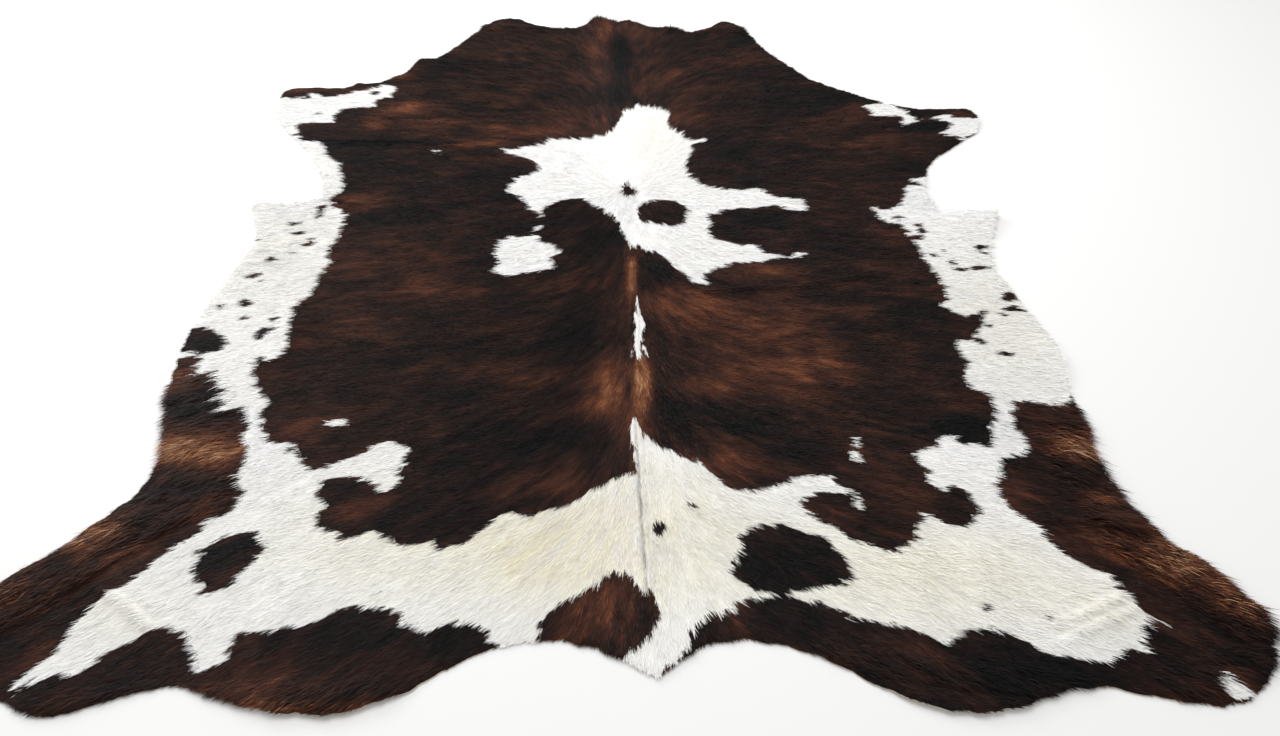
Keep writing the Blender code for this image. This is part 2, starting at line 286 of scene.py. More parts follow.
# name, place, half its width and length (in millimetres), how much warmer, how much single hairs differ
WARMER = (
    ("left armpit, red", (-650, 235), (70, 35), 0.26, 0),
    ("left ribs, black by the saddle", (-380, 220), (260, 100), -0.08, 0),
    ("left ribs, brown", (-530, 50), (90, 50), 0.10, 0),
    ("left ribs, red", (-430, -50), (60, 60), 0.20, 0),
    ("left belly, brown", (-620, -70), (90, 60), 0.12, 0),
    ("left ribs, low brown", (-380, -120), (130, 35), 0.10, 0),
    ("left belly, low brown", (-600, -240), (100, 50), 0.12, 0),
    ("behind the saddle, black left", (-70, 40), (90, 70), -0.14, 0),
    ("in the saddle, brown left", (-110, 200), (100, 35), 0.10, 0),
    ("left loin, orange streak", (-80, -100), (60, 25), 0.22, 0),
    ("left loin, black", (-120, -280), (150, 60), -0.18, 0),
    ("left loin, brown", (-220, -380), (160, 35), 0.16, 0),
    ("loin, orange left of the backbone", (-35, -420), (50, 110), 0.46, 0.05),
    ("left flank, brown patch", (-600, -500), (130, 90), 0.14, 0),
    ("left flank, black in it", (-550, -430), (50, 25), -0.14, 0),
    ("left loin, black below", (-380, -430), (90, 60), -0.10, 0),
    ("left rump, black", (-180, -550), (160, 45), -0.20, 0),
    ("left rump, brown", (-160, -665), (150, 30), 0.16, 0),
    ("left rump, black by the thigh", (-360, -660), (90, 90), -0.16, 0),
    ("left thigh, red", (-500, -710), (50, 50), 0.20, 0),
    ("left thigh, black", (-540, -660), (50, 22), -0.22, 0),
    ("orange on the backbone", (16, -50), (13, 90), 0.52, 0.04),
    ("behind the saddle, black right", (65, -60), (35, 55), -0.20, 0),
    ("right loin, orange", (120, -180), (100, 60), 0.30, 0),
    ("right ribs, mahogany", (260, -250), (180, 110), 0.26, 0),
    ("right ribs, low mahogany", (330, -380), (130, 100), 0.20, 0),
    ("right ribs, red", (300, -65), (130, 35), 0.16, 0),
    ("right ribs, black in the saddle", (300, 115), (120, 35), -0.10, 0),
    ("right ribs, red in the saddle", (340, 50), (80, 22), 0.12, 0),
    ("right belly, brown", (600, -70), (80, 50), 0.12, 0),
    ("right belly, black", (600, -260), (120, 110), -0.08, 0),
    ("loin, orange right of the backbone", (30, -440), (22, 120), 0.50, 0.06),
    ("loin, agouti beside it", (75, -420), (25, 100), -0.04, 0.16),
    ("right loin, low orange", (170, -420), (80, 35), 0.20, 0),
    ("right loin, black", (130, -485), (80, 30), -0.22, 0),
    ("right loin, dark corner", (90, -560), (60, 45), -0.08, 0.05),
    ("right rump, black upper", (230, -535), (70, 35), -0.34, 0),
    ("right rump, black lower", (310, -600), (70, 35), -0.34, 0),
    ("right rump, orange", (190, -620), (90, 60), 0.36, 0),
    ("right thigh, brown", (460, -660), (160, 100), 0.14, 0),
    ("right flank, black corner", (650, -555), (70, 30), -0.34, 0),
    ("right flank, red above it", (660, -500), (50, 15), 0.18, 0),
    # painted shade: the coat is drawn darker along the neck crease
    ("left neck, painted shade in its crease", (-450, 885), (160, 25), -0.12, 0),
    ("left of the crest, red", (-70, 980), (40, 180), 0.20, 0),
    ("crest, deep red", (-30, 1060), (25, 100), 0.22, 0),
    ("crest of the neck, black", (15, 900), (28, 110), -0.42, 0),
    ("right of the crest, red", (60, 1080), (40, 60), 0.20, 0),
    ("left neck, brown", (-220, 790), (170, 70), 0.10, 0),
    ("left shoulder, upper orange", (-580, 675), (100, 35), 0.38, 0.04),
    ("left shoulder, lower orange", (-500, 580), (110, 40), 0.26, 0.04),
    ("left shoulder, outer orange", (-670, 580), (45, 35), 0.36, 0.04),
    ("left withers, orange", (-270, 530), (140, 30), 0.30, 0),
    ("left withers, orange by the saddle", (-380, 472), (100, 18), 0.28, 0),
    ("left withers, red", (-120, 580), (120, 80), 0.20, 0),
    # painted shade: the coat is drawn blacker along the shoulder crease
    ("left shoulder, painted shade in its crease", (-640, 490), (200, 14), -0.30, 0),
    ("left shoulder, black below it", (-550, 360), (240, 90), -0.08, 0),
    ("left shoulder, edge", (-620, 835), (50, 30), 0.24, 0.04),
    ("withers, grey-black", (-10, 690), (50, 50), -0.20, 0),
    ("right neck, brown", (160, 800), (90, 110), 0.12, 0),
    ("right shoulder, black", (500, 680), (120, 70), -0.12, 0),
    ("right withers, red", (180, 570), (60, 80), 0.16, 0),
    ("right shoulder, black by the saddle", (270, 400), (90, 70), -0.14, 0),
    ("right fore shank, brown", (660, 450), (130, 50), 0.20, 0),
    ("right fore shank, red", (650, 600), (50, 50), 0.22, 0),
    ("right fore shank, black edge", (620, 685), (90, 28), -0.32, 0),
    ("right fore shank, black", (800, 515), (100, 25), -0.34, 0),
    ("right armpit, black", (740, 340), (60, 40), -0.14, 0),
    ("left fore shank, brown edge", (-800, 760), (150, 25), 0.26, 0.03),
    ("left belly patch, black", (-890, -260), (60, 35), -0.20, 0),
    ("left flank, brown edge", (-920, -360), (60, 50), 0.20, 0.05),
    ("left flank, black band", (-850, -450), (80, 35), -0.18, 0.05),
    ("left flank, tan", (-850, -555), (90, 50), 0.56, 0.16),
    ("left flank, orange", (-770, -585), (35, 40), 0.28, 0.04),
    ("left flank, black below it", (-840, -655), (70, 25), -0.14, 0.12),
    ("left thigh, red edge", (-780, -710), (60, 50), 0.20, 0.04),
    ("left hind shank, tan edge", (-950, -745), (90, 50), 0.34, 0.22),
    ("left hind shank, red", (-870, -800), (60, 40), 0.18, 0.04),
    ("left hind shank, agouti", (-1050, -860), (70, 60), 0.18, 0.24),
    ("left hind shank, black", (-980, -930), (60, 50), -0.12, 0.06),
    ("left rump edge, brown", (-600, -1030), (140, 50), 0.12, 0.03),
    ("left rump edge, tan", (-520, -1095), (140, 18), 0.22, 0.16),
    ("left rump edge, black", (-440, -970), (130, 45), -0.16, 0),
    ("left rump edge, black corner", (-290, -970), (60, 40), -0.18, 0),
    ("tail root, orange", (-70, -930), (100, 80), 0.28, 0.05),
    ("right rump edge, black", (200, -960), (100, 50), -0.10, 0),
    ("right rump edge, brown", (400, -1020), (120, 50), 0.06, 0),
    ("right rump edge, low black", (680, -1060), (160, 50), -0.20, 0),
    ("right rump oval, black", (270, -850), (120, 80), -0.20, 0),
    ("left rump oval, black", (-710, -820), (70, 70), -0.10, 0),
    ("right flank, red patch", (810, -505), (50, 25), 0.20, 0),
    ("right flank, black edge", (870, -520), (30, 40), -0.10, 0),
    ("right flank, tan", (840, -610), (60, 50), 0.40, 0.26),
    ("right flank, orange", (850, -725), (40, 30), 0.42, 0.12),
    ("right flank, dark patch", (720, -645), (40, 30), -0.10, 0.14),
    ("right flank, red edge", (710, -720), (50, 40), 0.20, 0),
    ("right hind shank, brown", (840, -820), (60, 40), 0.14, 0.10),
    ("right hind shank, tan", (930, -865), (70, 50), 0.36, 0.26),
    ("right hind shank, agouti", (1000, -950), (50, 50), 0.24, 0.26),
    ("right hind foot, black", (950, -1030), (90, 50), -0.14, 0.05),
)

# Creases too fine for the CAD sheet. A ridge stands up, and a groove is a dent between two low lips, with
# painted shade on the hair at its bottom.
# name, from, to, half its width, rise, kind
CREASES = (
    ("right hind shank, upper line", (0.690, -0.998), (0.860, -0.930), 0.010, 0.0035, "ridge"),
    ("right hind shank, lower line", (0.685, -1.028), (0.850, -0.962), 0.009, 0.0030, "ridge"),
    ("left hind shank, step", (-0.905, -0.872), (-0.812, -0.948), 0.010, 0.0045, "ridge"),
    ("right thigh, dark line", (0.735, -0.795), (0.905, -0.792), 0.008, 0.0040, "groove"),
    ("right ribs, long line", (0.180, -0.140), (0.400, -0.125), 0.007, 0.0030, "groove"),
    ("right ribs, long line's end", (0.400, -0.125), (0.600, -0.094), 0.007, 0.0030, "groove"),
    ("right belly line", (0.500, 0.018), (0.610, -0.004), 0.007, 0.0030, "groove"),
    ("right belly line's end", (0.610, -0.004), (0.695, -0.024), 0.007, 0.0030, "groove"),
    ("left shoulder line", (-0.790, 0.500), (-0.560, 0.484), 0.008, 0.0035, "groove"),
    ("left shoulder line's end", (-0.560, 0.484), (-0.420, 0.476), 0.007, 0.0025, "groove"),
    ("left armpit line", (-0.723, 0.229), (-0.640, 0.204), 0.008, 0.0040, "groove"),
    ("left neck line", (-0.570, 0.895), (-0.300, 0.885), 0.008, 0.0025, "groove"),
    ("left belly, upper ridge", (-0.880, 0.040), (-0.800, 0.030), 0.009, 0.0030, "ridge"),
    ("left belly, lower ridge", (-0.885, -0.002), (-0.795, -0.006), 0.009, 0.0030, "ridge"),
    ("rump, parting", (0.010, -0.505), (0.020, -0.960), 0.006, 0.0022, "groove"),
    ("loin, parting", (0.012, -0.450), (0.020, -0.020), 0.006, 0.0020, "groove"),
    ("right rump, inner wave", (0.500, -0.985), (0.485, -0.870), 0.022, 0.0050, "ridge"),
    ("right rump, outer wave", (0.612, -0.985), (0.590, -0.860), 0.020, 0.0045, "ridge"),
    ("left rump wave", (-0.600, -0.950), (-0.575, -0.850), 0.022, 0.0040, "ridge"),
    ("right flank ridge", (0.700, -0.500), (0.745, -0.600), 0.014, 0.0040, "ridge"),
    ("left flank ridge", (-0.735, -0.500), (-0.700, -0.640), 0.014, 0.0035, "ridge"),
    ("saddle, right wave", (0.225, 0.080), (0.190, 0.240), 0.020, 0.0030, "ridge"),
)

# How the white coat differs: its own cream and grey, and painted shade, as on the duller rump where less
# light falls and in the rippled armpits
# name, place, half its width and length (in millimetres), how creamy, how grey (its own grey and painted
# shade)
WHITER = (
    ("rump, left", (-400, -780), (300, 140), 0.45, 0.10),
    ("rump, middle", (-20, -780), (240, 160), 0.80, 0.35),
    ("rump, backbone", (15, -650), (30, 200), 0.20, 0.30),
    ("rump, yellow", (-160, -830), (80, 50), 0.55, 0),
    ("rump, right", (500, -880), (280, 120), 0.60, 0.12),
    ("left belly", (-800, 50), (120, 260), 0.35, 0.45),
    ("left armpit", (-800, 250), (100, 80), 0, 0.50),
    ("right belly", (800, -250), (120, 220), 0.45, 0.50),
    ("right armpit", (790, 200), (90, 70), 0, 0.80),
    ("right flank strip", (720, -560), (50, 80), 0, 0.60),
    ("left flank strip", (-720, -580), (50, 100), 0, 0.30),
    ("blaze", (60, 480), (100, 160), 0.30, 0.08),
    ("saddle, backbone", (10, 160), (20, 120), 0, 0.60),
    ("right hind shank", (780, -970), (100, 60), 0.35, 0.20),
    ("left hind shank", (-860, -920), (100, 70), 0.30, 0.15),
    ("left fore shank", (-860, 660), (120, 100), 0, 0.15),
)

# Where the coat is long and stands off the skin.
# name, from, to, half its width, hair length, blades in it
LONG_HAIR = (
    ("left flank", (-0.87, -0.42), (-0.80, -0.66), 0.075, 0.045, 9000),
    ("left hind shank, outer edge", (-0.86, -0.70), (-1.07, -0.90), 0.055, 0.050, 9000),
    ("right flank", (0.84, -0.54), (0.87, -0.76), 0.065, 0.045, 9000),
    ("right hind shank, outer edge", (0.87, -0.80), (1.02, -0.98), 0.055, 0.050, 9000),
    ("crest of the neck", (0.00, 0.95), (-0.04, 1.13), 0.045, 0.040, 2500),
    ("left rump edge", (-0.95, -1.07), (-0.40, -1.07), 0.030, 0.028, 3500),
    ("right rump edge", (0.30, -1.03), (0.70, -1.10), 0.030, 0.028, 3000),
    ("right hind foot", (0.85, -1.10), (1.02, -1.05), 0.035, 0.030, 2000),
    ("neck, left corner", (-0.40, 1.12), (-0.15, 1.09), 0.025, 0.026, 1500),
    ("neck, right corner", (0.15, 1.08), (0.40, 1.08), 0.025, 0.026, 1500),
)

# Coat colours, as seen in even light (red, green, blue, out of 255)
DARK_COAT = (
    (0.00, (9, 8, 8)),
    (0.25, (33, 20, 17)),
    (0.42, (56, 32, 24)),
    (0.58, (82, 47, 33)),
    (0.72, (112, 66, 43)),
    (0.86, (150, 98, 65)),
    (1.00, (186, 145, 110)),
)
WHITE_COAT = (250, 249, 246)
CREAM_COAT = (240, 232, 208)
# a grey white of the coat's own, also used as painted shade on it
GREY_WHITE_AND_SHADE = (226, 226, 228)
SUEDE = (198, 182, 158)
CUT_SKIN = (214, 200, 172)
FLOOR = (226, 226, 226)


def linear(rgb):
    """A colour out of 255, as the linear values that shaders take."""
    share = np.asarray(rgb, float) / 255
    return np.where(share <= 0.04045, share / 12.92, ((share + 0.055) / 1.055) ** 2.4)


# Fields over the hide, on a fine grid


def grid_places(step):
    """Every grid point, row by row, as places on the hide."""
    across = np.arange(GRID_LOW[0], GRID_HIGH[0], step)
    along = np.arange(GRID_LOW[1], GRID_HIGH[1], step)
    x, y = np.meshgrid(across, along)
    return np.stack([x, y], axis=-1)


class Field:
    """Values on a grid over the hide, read anywhere on it."""

    def __init__(self, values, step=GRID_STEP):
        self.values = np.asarray(values, np.float32)
        self.step = step

    def at(self, places):
        rows, columns = self.values.shape[:2]
        where = (places - GRID_LOW) / self.step
        x = np.clip(where[..., 0], 0, columns - 1.001)
        y = np.clip(where[..., 1], 0, rows - 1.001)
        i, j = x.astype(int), y.astype(int)
        u, v = x - i, y - j
        if self.values.ndim == 3:
            u, v = u[..., None], v[..., None]
        low = self.values[j, i] * (1 - u) + self.values[j, i + 1] * u
        high = self.values[j + 1, i] * (1 - u) + self.values[j + 1, i + 1] * u
        return low * (1 - v) + high * v


def hair_flow(places):
    """Unit vectors: which way the hair lies."""
    total = np.zeros_like(places)
    for (x, y), (right, forward) in HAIR_FLOW:
        for side in (1, -1):
            guide = np.array((BACKBONE_X + side * x, y))
            off = ((places - guide) ** 2).sum(axis=-1) / FLOW_REACH ** 2
            weight = np.exp(-off) + 1e-3 / (1 + off) ** 2
            total += weight[..., None] * np.array((side * right, forward))
    return total / np.linalg.norm(total, axis=-1, keepdims=True)


def speckle(size):
    """Random values that change over about size metres, with a mean of 0 and a spread of 1."""
    rows, columns = np.ceil((GRID_HIGH - GRID_LOW)[::-1] / size).astype(int) + 2
    coarse = Field(RANDOM.standard_normal((rows, columns)), size)
    values = coarse.at(grid_places(GRID_STEP))
    return values / values.std()


def combed(values, reach):
    """Values smeared along the hair, reach metres each way, which turns speckle into streaks."""
    places = grid_places(GRID_STEP)
    source = Field(values)
    total = source.at(places)
    step = 1.6 * GRID_STEP
    for way in (1, -1):
        place = places.copy()
        for _ in range(round(reach / step)):
            place += way * step * FLOW.at(place)
            total += source.at(place)
    return Field((total - total.mean()) / total.std())


def inside_by(places, corners):
    """How deep each place lies inside a closed line of corners, in metres: below 0 outside it."""
    nearest = np.full(places.shape[:-1], np.inf)
    crossed = np.zeros(places.shape[:-1], bool)
    x, y = places[..., 0], places[..., 1]
    for (ax, ay), (bx, by) in zip(corners, corners[1:] + corners[:1]):
        dx, dy = bx - ax, by - ay
        share = np.clip(((x - ax) * dx + (y - ay) * dy) / (dx * dx + dy * dy), 0, 1)
        off = (x - ax - share * dx) ** 2 + (y - ay - share * dy) ** 2
        nearest = np.minimum(nearest, off)
        if ay != by:
            crossed ^= ((ay > y) != (by > y)) & (x < ax + (y - ay) / (by - ay) * dx)
    return np.where(crossed, 1, -1) * np.sqrt(nearest)


def painted_pattern():
    """How deep each place lies in the dark pattern: below 0 in the white."""
    step = 2 * GRID_STEP
    places = grid_places(step)
    depth = np.full(places.shape[:-1], -1.0)
    for _, colour, corners in PATCHES:
        inner = inside_by(places, [(x / 1000, y / 1000) for x, y in corners])
        depth = np.maximum(depth, inner) if colour == "dark" else np.minimum(depth, -inner)
    return Field(depth, step)


def pattern_depth(places):
    """The painted pattern with its spots, and ragged as hair leaves it."""
    depth = PATTERN.at(places)
    for centre, half, colour in SPOTS:
        centre, half = np.array(centre) / 1000, np.array(half) / 1000
        off = np.sqrt((((places - centre) / half) ** 2).sum(axis=-1))
        inner = (1 - off) * min(half)
        depth = np.maximum(depth, inner) if colour == "dark" else np.minimum(depth, -inner)
    return depth + RAGGED_FINE * FINE_STREAKS.at(places) + RAGGED * STREAKS.at(places)


def from_line(places, start, end):
    """How far each place is from a straight line, and what share of the way along it."""
    start, along = np.array(start), np.subtract(end, start)
    share = np.clip(((places - start) @ along) / (along @ along), 0, 1)
    return np.linalg.norm(places - start - share[..., None] * along, axis=-1), share


def creased(places):
    """(how far the creases raise the skin, how much painted shade darkens the hair in the grooves) at these
    places.
    """
    rise = np.zeros(len(places))
    dark = np.zeros(len(places))
    for _, start, end, half, height, kind in CREASES:
        off, share = from_line(places, start, end)
        off = off / half
        fade = np.sin(np.pi * np.clip(0.1 + 0.8 * share, 0, 1)) ** 0.5
        if kind == "ridge":
            rise += height * fade * np.exp(-off ** 2)
        else:
            rise += height * fade * off ** 2 * np.exp(1 - off ** 2)
            dark = np.maximum(dark, GROOVE_SHADE * fade * np.exp(-4 * off ** 2))
    return rise, dark


def zone_weight(places, centre, half):
    """How strongly a zone, given in millimetres, holds at these places: 1 in its middle."""
    off = (places - np.array(centre) / 1000) / (np.array(half) / 1000)
    return np.exp(-(off ** 2).sum(axis=-1))


def dark_colours(places, own):
    """The dark coat's colours out of 255. own is a random value of each hair's own."""
    warmth = WARMTH + STREAK_WARMTH * STREAKS.at(places) + BLOTCH_WARMTH * BLOTCHES.at(places)
    warmth += FINE_WARMTH * FINE_STREAKS.at(places)
    spread = np.full(len(places), OWN_WARMTH)
    for _, centre, half, warmer, differ in WARMER:
        weight = zone_weight(places, centre, half)
        warmth += warmer * weight
        spread += differ * weight
    warmth = np.clip(warmth + spread * own, 0, 1)
    stops = [stop for stop, _ in DARK_COAT]
    return np.stack([np.interp(warmth, stops, [rgb[c] for _, rgb in DARK_COAT]) for c in range(3)], axis=-1)


def white_colours(places, own):
    """The white coat's colours out of 255, with painted shade in some zones."""
    cream = np.zeros(len(places))
    grey = 0.10 * STREAKS.at(places)
    for _, centre, half, creamier, greyer_and_shaded in WHITER:
        weight = zone_weight(places, centre, half)
        cream += creamier * weight
        grey += greyer_and_shaded * weight
    cream, grey = np.clip(cream, 0, 1)[:, None], np.clip(grey, 0, 1)[:, None]
    colours = np.array(WHITE_COAT) * (1 - cream) + np.array(CREAM_COAT) * cream
    colours = colours * (1 - grey) + np.array(GREY_WHITE_AND_SHADE) * grey
    return colours * (1 + 0.014 * FINE_STREAKS.at(places) + 0.018 * own)[:, None]


def coat_colours(places, own):
    """Linear colours of hairs rooted at these places, with painted shade in the creases' grooves."""
    is_dark = (pattern_depth(places) > 0)[:, None]
    colours = np.where(is_dark, dark_colours(places, own), white_colours(places, own))
    _, shade = creased(places)
    return linear(np.clip(colours, 0, 253)) * (1 - shade)[:, None]


FLOW = Field(hair_flow(grid_places(GRID_STEP)))
FINE_STREAKS = combed(speckle(0.0030), 0.012)
STREAKS = combed(speckle(0.0080), 0.020)
BLOTCHES = combed(speckle(0.040), 0.050)
TUFTS = combed(speckle(0.0110), 0.012)
PATTERN = painted_pattern()


# The skin


def cad_edge(mesh):
    """The CAD sheet's lower cut edge, as one closed row of places in the row frame."""
    solid = bmesh.new()
    solid.from_mesh(mesh)
    bmesh.ops.remove_doubles(solid, verts=solid.verts, dist=1e-5)
    solid.normal_update()
    follows = {}
    for edge in solid.edges:
        faces = sorted(edge.link_faces, key=lambda face: face.normal.z)
        if len(faces) == 2 and faces[0].normal.z < -0.5 and abs(faces[1].normal.z) < 0.5:
            loop = next(loop for loop in faces[1].loops if loop.edge == edge)
            follows[loop.vert] = loop.link_loop_next.vert
    start = vert = next(iter(follows))
    row = []
    while True:
        row.append((vert.co.x, vert.co.y))
        vert = follows[vert]
        if vert == start:
            break
    solid.free()
    return np.array(row)


def smooth_closed(row, step):
    """The closed curve through a row of places, again about step apart."""
    out = []
    for before, start, end, after in zip(np.roll(row, 1, 0), row, np.roll(row, -1, 0), np.roll(row, -2, 0)):
        count = max(1, round(np.linalg.norm(end - start) / step))
        t = (np.arange(count) / count)[:, None]
        out.append(0.5 * (2 * start + t * (end - before) + t ** 2 * (2 * before - 5 * start + 4 * end - after)
                          + t ** 3 * (3 * start - before - 3 * end + after)))
    return np.concatenate(out)


def wavered(row):
    """The cut edge, pushed in and out a little as a knife leaves it."""
    along = np.roll(row, -1, 0) - np.roll(row, 1, 0)
    outward = np.stack([along[:, 1], -along[:, 0]], axis=-1)
    outward /= np.linalg.norm(outward, axis=-1, keepdims=True)
    return row + EDGE_WAVER * outward * TUFTS.at(row - HIDE_ZERO)[:, None]


def edge_depth(row):
    """How far inside the cut edge each place on the hide lies."""
    corners = [tuple(place) for place in row[::3] - HIDE_ZERO]
    return Field(inside_by(grid_places(EDGE_GRID), corners), EDGE_GRID)


def crease_points():
    """Rows of places beside each fine crease, on the hide."""
    found = [np.zeros((0, 2))]
    for _, start, end, half, _, _ in CREASES:
        if half >= FINE_CREASE:
            continue
        start, along = np.array(start), np.subtract(end, start)
        length = np.linalg.norm(along)
        along /= length
        across = np.array((-along[1], along[0]))
        u, v = np.meshgrid(np.arange(0, length, CREASE_STEP), np.arange(-2 * half, 2.01 * half, CREASE_STEP))
        places = start + u.reshape(-1, 1) * along + v.reshape(-1, 1) * across
        taken = np.concatenate(found)
        if len(taken):
            near = np.array([np.min(np.abs(taken - place).max(axis=1)) for place in places])
            places = places[near > 0.8 * CREASE_STEP]
        found.append(places)
    return np.concatenate(found)


def inner_points(row, depth):
    """A staggered grid of places inside the cut edge, closer together beside the creases."""
    high = SKIN_STEP * math.sqrt(3) / 2
    low, top = row.min(0), row.max(0)
    found = []
    for n, y in enumerate(np.arange(low[1], top[1], high)):
        x = np.arange(low[0] + 0.5 * SKIN_STEP * (n % 2), top[0], SKIN_STEP)
        found.append(np.stack([x, np.full_like(x, y)], axis=-1))
    places = np.concatenate(found)
    clear = np.ones(len(places), bool)
    for _, start, end, half, _, _ in CREASES:
        if half < FINE_CREASE:
            clear &= from_line(places - HIDE_ZERO, start, end)[0] > 2 * half + 0.6 * CREASE_STEP
    places = np.concatenate([places[clear], crease_points() + HIDE_ZERO])
    return places[depth.at(places - HIDE_ZERO) > 0.7 * SKIN_STEP]


def floor_gap(places, mesh):
    """How far the CAD sheet's underside stands off the floor at these places."""
    tree = BVHTree.FromPolygons([v.co for v in mesh.vertices], [tuple(p.vertices) for p in mesh.polygons])
    heights = []
    for x, y in places:
        hit = tree.ray_cast(Vector((x, y, -1)), Vector((0, 0, 1)))[0]
        if hit is None:
            hit = tree.find_nearest(Vector((x, y, 0)))[0]
        heights.append(hit.z)
    return np.array(heights)


def evened(heights, edges, rounds):
    """Heights averaged with their neighbours', so that no facet of the CAD sheet shows."""
    count = np.bincount(edges.ravel(), minlength=len(heights))
    for _ in range(rounds):
        total = np.bincount(edges[:, 0], heights[edges[:, 1]], len(heights))
        total += np.bincount(edges[:, 1], heights[edges[:, 0]], len(heights))
        heights = 0.4 * heights + 0.6 * total / count
    return heights


def mesh_object(name, points, faces, material_index=None, materials=()):
    mesh = bpy.data.meshes.new(name)
    mesh.vertices.add(len(points))
    mesh.vertices.foreach_set("co", np.asarray(points, np.float32).ravel())
    mesh.loops.add(3 * len(faces))
    mesh.loops.foreach_set("vertex_index", np.asarray(faces, np.int32).ravel())
    mesh.polygons.add(len(faces))
    mesh.polygons.foreach_set("loop_start", np.arange(0, 3 * len(faces), 3, dtype=np.int32))
    for material in materials:
        mesh.materials.append(material)
    if material_index is not None:
        mesh.polygons.foreach_set("material_index", np.asarray(material_index, np.int32))
    mesh.update(calc_edges=True)
    obj = bpy.data.objects.new(name, mesh)
    bpy.context.scene.collection.objects.link(obj)
    return obj


def set_colours(mesh, name, colours):
    layer = mesh.color_attributes.new(name, "FLOAT_COLOR", "POINT")
    opaque = np.column_stack([colours, np.ones(len(colours))]).astype(np.float32)
    layer.data.foreach_set("color", opaque.ravel())


def build_skin(cad, materials):
    """The skin: coat side, suede side and cut edge. Returns it with its upper points and triangles."""
    row = wavered(smooth_closed(cad_edge(cad.data), EDGE_STEP))
    depth = edge_depth(row)
    inner = inner_points(row, depth)
    count = len(row)
    sides = [(i, (i + 1) % count) for i in range(count)]
    given = [Vector(p) for p in np.concatenate([row, inner])]
    points, _, faces, *_ = delaunay_2d_cdt(given, sides, [], 1, 1e-7)
    places = np.array([tuple(p) for p in points])
    faces = np.array(faces)
    a, b, c = (places[faces[:, k]] for k in range(3))
    turned = np.cross(b - a, c - a) < 0
    faces[turned] = faces[turned][:, ::-1]
    edges = np.concatenate([faces[:, [0, 1]], faces[:, [1, 2]], faces[:, [2, 0]]])
    gap = evened(floor_gap(places, cad.data), edges, EVENING_ROUNDS) + creased(places - HIDE_ZERO)[0]
    under = np.column_stack([places, gap])
    over = under + (0, 0, SKIN)
    n = len(places)
    pairs = {(i, j) for i, j in edges.tolist()}
    rim = np.array([(i, j) for i, j in pairs if (j, i) not in pairs])
    wall = np.concatenate([np.column_stack([rim[:, 1], rim[:, 0], rim[:, 0] + n]),
                           np.column_stack([rim[:, 1], rim[:, 0] + n, rim[:, 1] + n])])
    everything = np.concatenate([faces, faces[:, ::-1] + n, wall])
    kinds = np.repeat([0, 1, 2], [len(faces), len(faces), len(wall)])
    skin = mesh_object("skin", np.concatenate([over, under]), everything, kinds, materials)
    skin.data.shade_smooth()
    on_hide = np.tile(places - HIDE_ZERO, (2, 1))
    none = np.zeros(2 * n)
    # painted shade: ROOT_SHADE darkens the roots' colours under the coat
    set_colours(skin.data, "dark_roots", linear(dark_colours(on_hide, none)) * ROOT_SHADE)
    set_colours(skin.data, "white_roots", linear(white_colours(on_hide, none).clip(0, 253)) * ROOT_SHADE)
    pattern = skin.data.attributes.new("pattern_depth", "FLOAT", "POINT")
    pattern.data.foreach_set("value", pattern_depth(on_hide).astype(np.float32))
    return skin, over, faces, depth


# The coat


def rooted(points, faces, count):
    """Random roots on the coat side, with the skin's normal at each."""
    a, b, c = (points[faces[:, k]] for k in range(3))
    normals = np.cross(b - a, c - a)
    size = np.linalg.norm(normals, axis=1)
    picked = np.searchsorted(np.cumsum(size), RANDOM.random(count) * size.sum())
    u, v = RANDOM.random((2, count, 1))
    folded = u + v > 1
    u, v = np.where(folded, 1 - u, u), np.where(folded, 1 - v, v)
    return a[picked] + u * (b - a)[picked] + v * (c - a)[picked], (normals / size[:, None])[picked]


